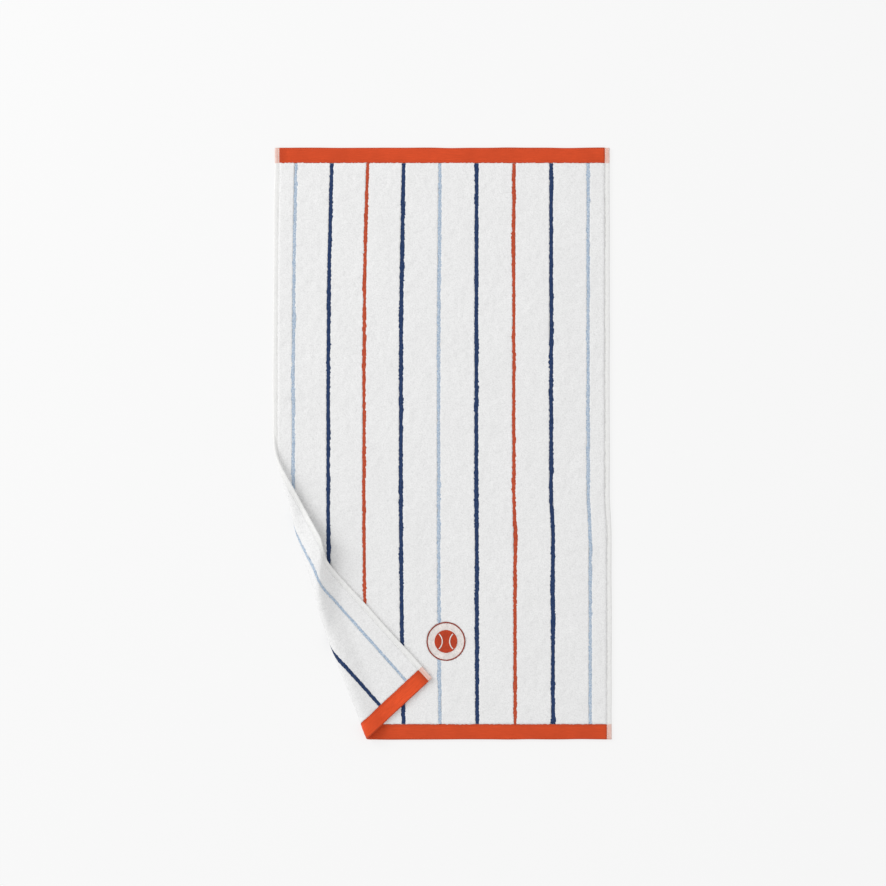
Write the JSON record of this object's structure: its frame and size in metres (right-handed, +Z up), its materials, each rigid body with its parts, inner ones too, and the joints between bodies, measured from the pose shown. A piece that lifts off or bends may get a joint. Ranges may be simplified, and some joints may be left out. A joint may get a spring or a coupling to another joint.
{
  "type": "striped terry sports towel",
  "caption": "Striped terry sports towel lying flat with one corner turned over, orange woven end hems, folded side hems and a round embroidered emblem.",
  "frame": {"origin": "middle of the towel's box, on the surface that it lies on", "axes": "+X across the towel, with the turned corner on the -X side; +Y along it towards the far hem, away from the turned corner; +Z up from the surface"},
  "size_m": [0.5066, 0.8834, 0.0324],
  "materials": {
    "terry": "matte",
    "pile_light_blue": "matte",
    "pile_navy": "matte",
    "pile_orange": "matte",
    "hem_band": "matte",
    "side_hem": "matte",
    "orange_thread": "satin",
    "white_thread": "satin",
    "emblem_pale": "satin",
    "emblem_red": "satin"
  },
  "bodies": {
    "root": {"terry_cloth": "terry", "stripe_1_light_blue": "pile_light_blue", "stripe_2_navy": "pile_navy", "stripe_3_orange": "pile_orange", "stripe_4_navy": "pile_navy", "stripe_5_light_blue": "pile_light_blue", "stripe_6_navy": "pile_navy", "stripe_7_orange": "pile_orange", "stripe_8_navy": "pile_navy", "stripe_9_light_blue": "pile_light_blue", "top_hem": "hem_band", "top_hem_stitching": "orange_thread", "bottom_hem": "hem_band", "bottom_hem_stitching": "orange_thread", "left_side_hem": "side_hem", "left_side_hem_stitching": "white_thread", "right_side_hem": "side_hem", "right_side_hem_stitching": "white_thread", "emblem_ground": "emblem_pale", "emblem_ring": "emblem_red", "emblem_disc": "emblem_red", "emblem_seam_left": "emblem_pale", "emblem_seam_right": "emblem_pale"}
  },
  "joints": []
}
